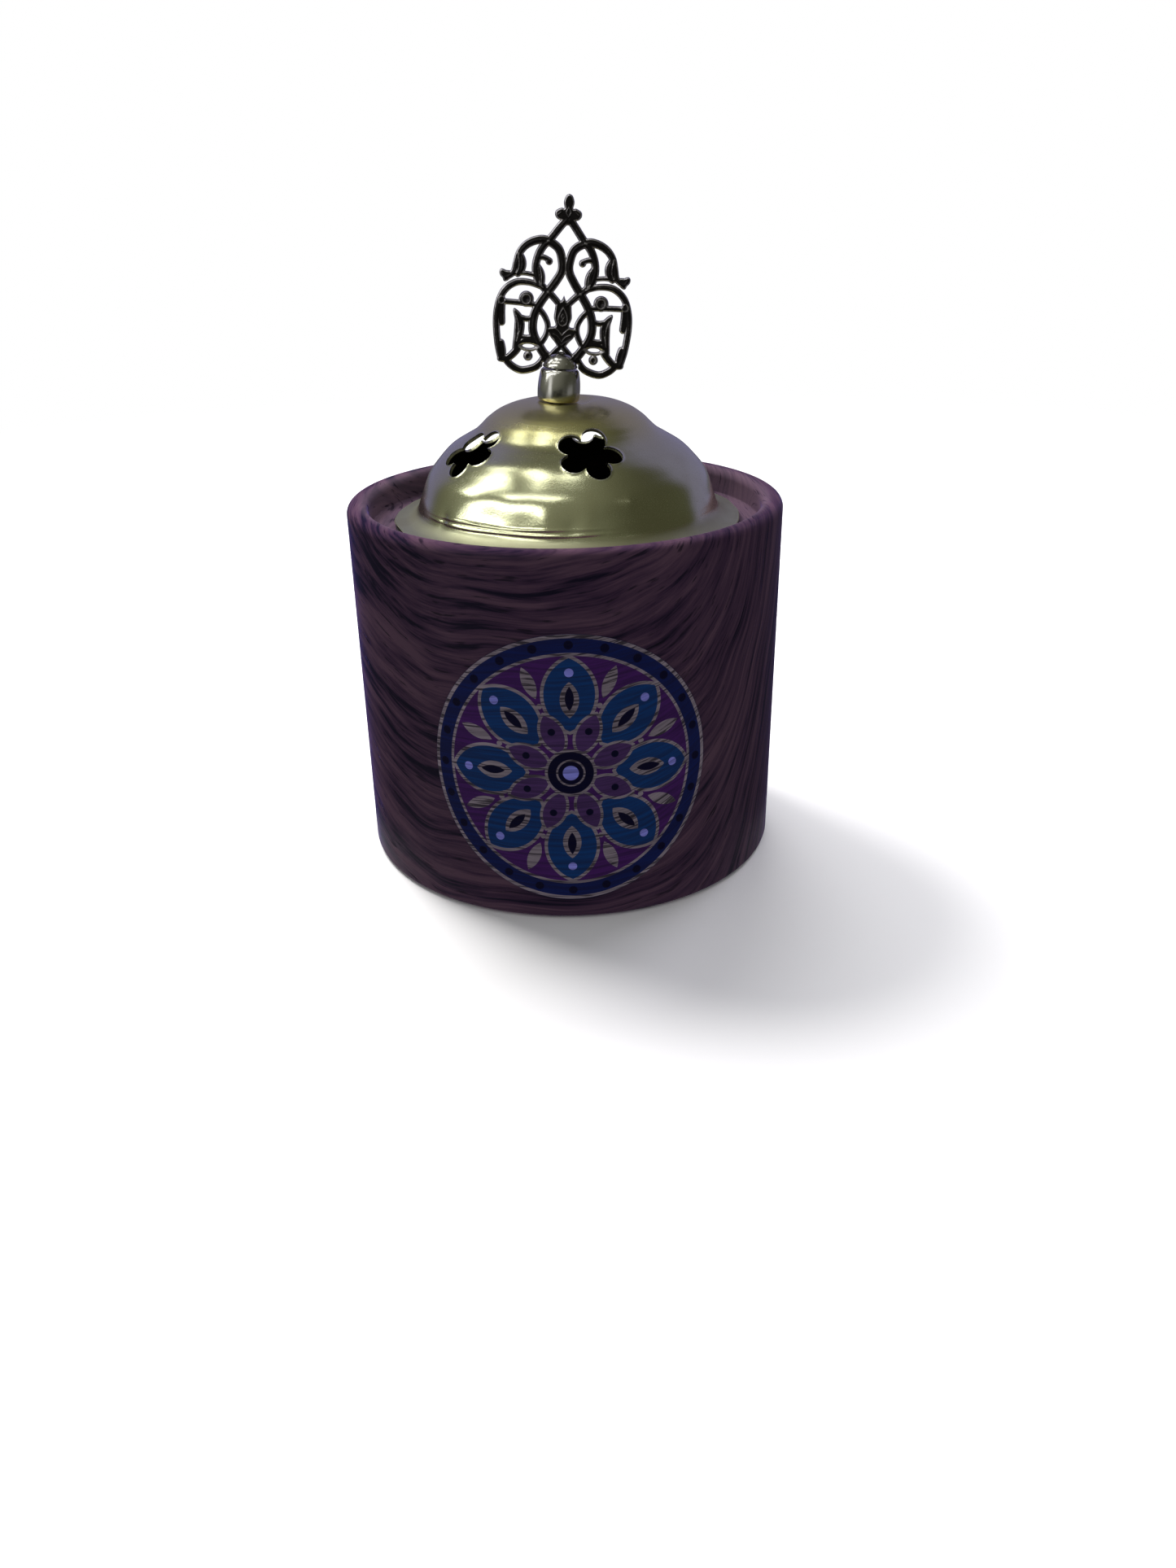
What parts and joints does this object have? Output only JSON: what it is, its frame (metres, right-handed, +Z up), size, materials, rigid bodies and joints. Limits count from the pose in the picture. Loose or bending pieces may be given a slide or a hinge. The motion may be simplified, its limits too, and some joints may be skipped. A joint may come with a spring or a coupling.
{
  "type": "mabkhara incense burner",
  "caption": "Turned wooden cup holding a metal charcoal bowl under a two-tier brass lid with flower cut-outs and a filigree finial.",
  "frame": {"origin": "middle of the cup's flat base, on the surface it stands on", "axes": "+Z up along the cup's axis to the finial's tip; the side with the two near flower cut-outs and the finial's flat face looks along -Y; +X to the right of that side"},
  "size_m": [0.1, 0.1, 0.1464],
  "materials": {
    "walnut": "oiled, fine open grain",
    "bowl_metal": "spun",
    "lid_brass": "polished and lacquered, pale",
    "ferrule_plating": "polished",
    "antiqued_brass": "darkened, with bright worn edges",
    "screw_steel": "plain"
  },
  "bodies": {
    "cup": {"wooden_cup": "walnut"},
    "bowl": {"charcoal_bowl": "bowl_metal"},
    "lid": {"lid_dome": "lid_brass", "lid_collar": "lid_brass", "ferrule_barrel": "ferrule_plating", "ferrule_cap": "ferrule_plating", "filigree_plate": "antiqued_brass", "finial_screw": "screw_steel", "screw_washer": "screw_steel"}
  },
  "joints": [
    {"name": "bowl_lift", "type": "slide", "parent": "cup", "child": "bowl", "axis": [0, 0, 1], "range_m": [0, 0.06]},
    {"name": "lid_lift", "type": "slide", "parent": "bowl", "child": "lid", "axis": [0, 0, 1], "range_m": [0, 0.06]}
  ]
}
